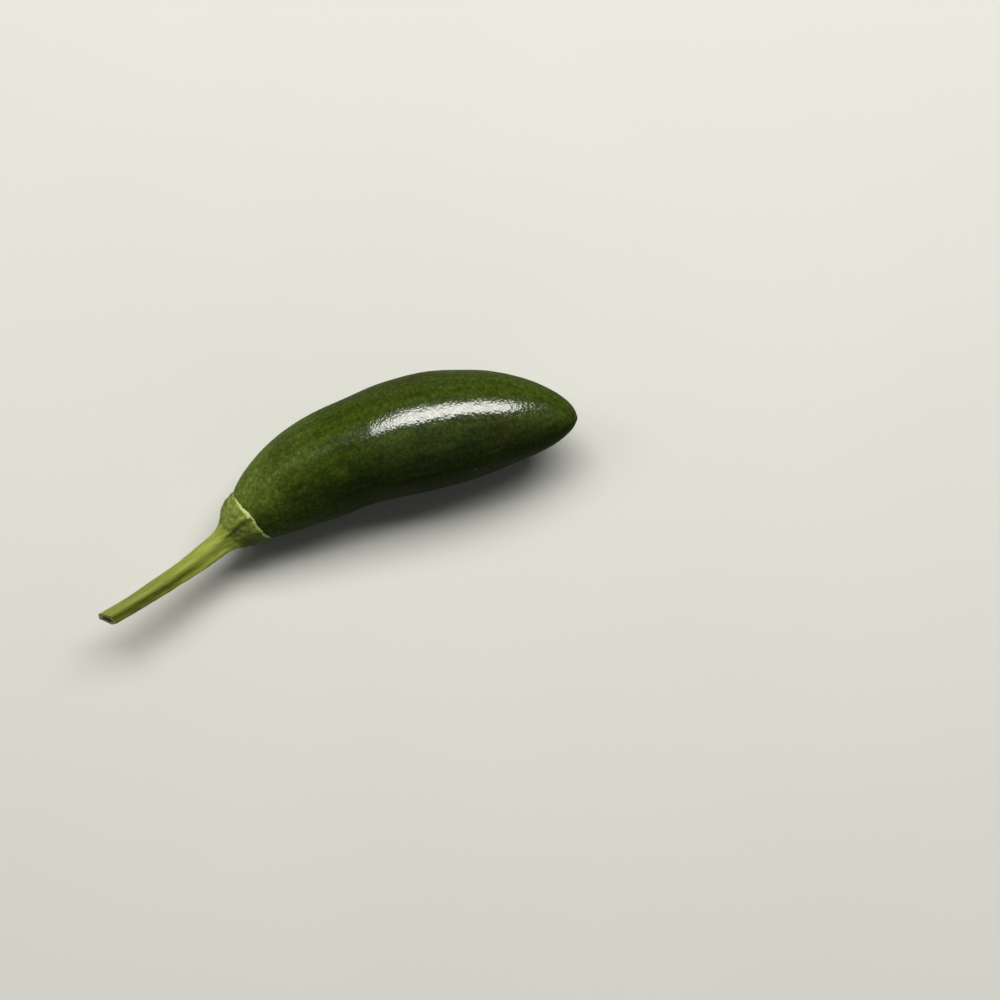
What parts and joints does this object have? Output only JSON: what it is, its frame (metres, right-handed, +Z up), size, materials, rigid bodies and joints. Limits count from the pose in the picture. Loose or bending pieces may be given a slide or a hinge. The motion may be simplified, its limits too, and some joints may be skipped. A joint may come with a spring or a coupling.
{
  "type": "chilli pepper",
  "caption": "Whole green chilli pepper lying on its side: a bent, tapering, glossy pod with a ribbed calyx and a cut stalk.",
  "frame": {"origin": "centre of the bounding box's bottom, on the surface that the chilli lies on", "axes": "+X along the chilli, from the cut end of the stalk to the tip of the pod; +Y towards the outside of its bend; +Z up"},
  "size_m": [0.091, 0.0232, 0.0207],
  "materials": {
    "pod_skin": "waxy dark green skin, glossy",
    "stalk_green": "light yellow-green, satin, slightly fibrous"
  },
  "bodies": {
    "root": {"pod": "pod_skin", "stalk_and_calyx": "stalk_green"}
  },
  "joints": []
}
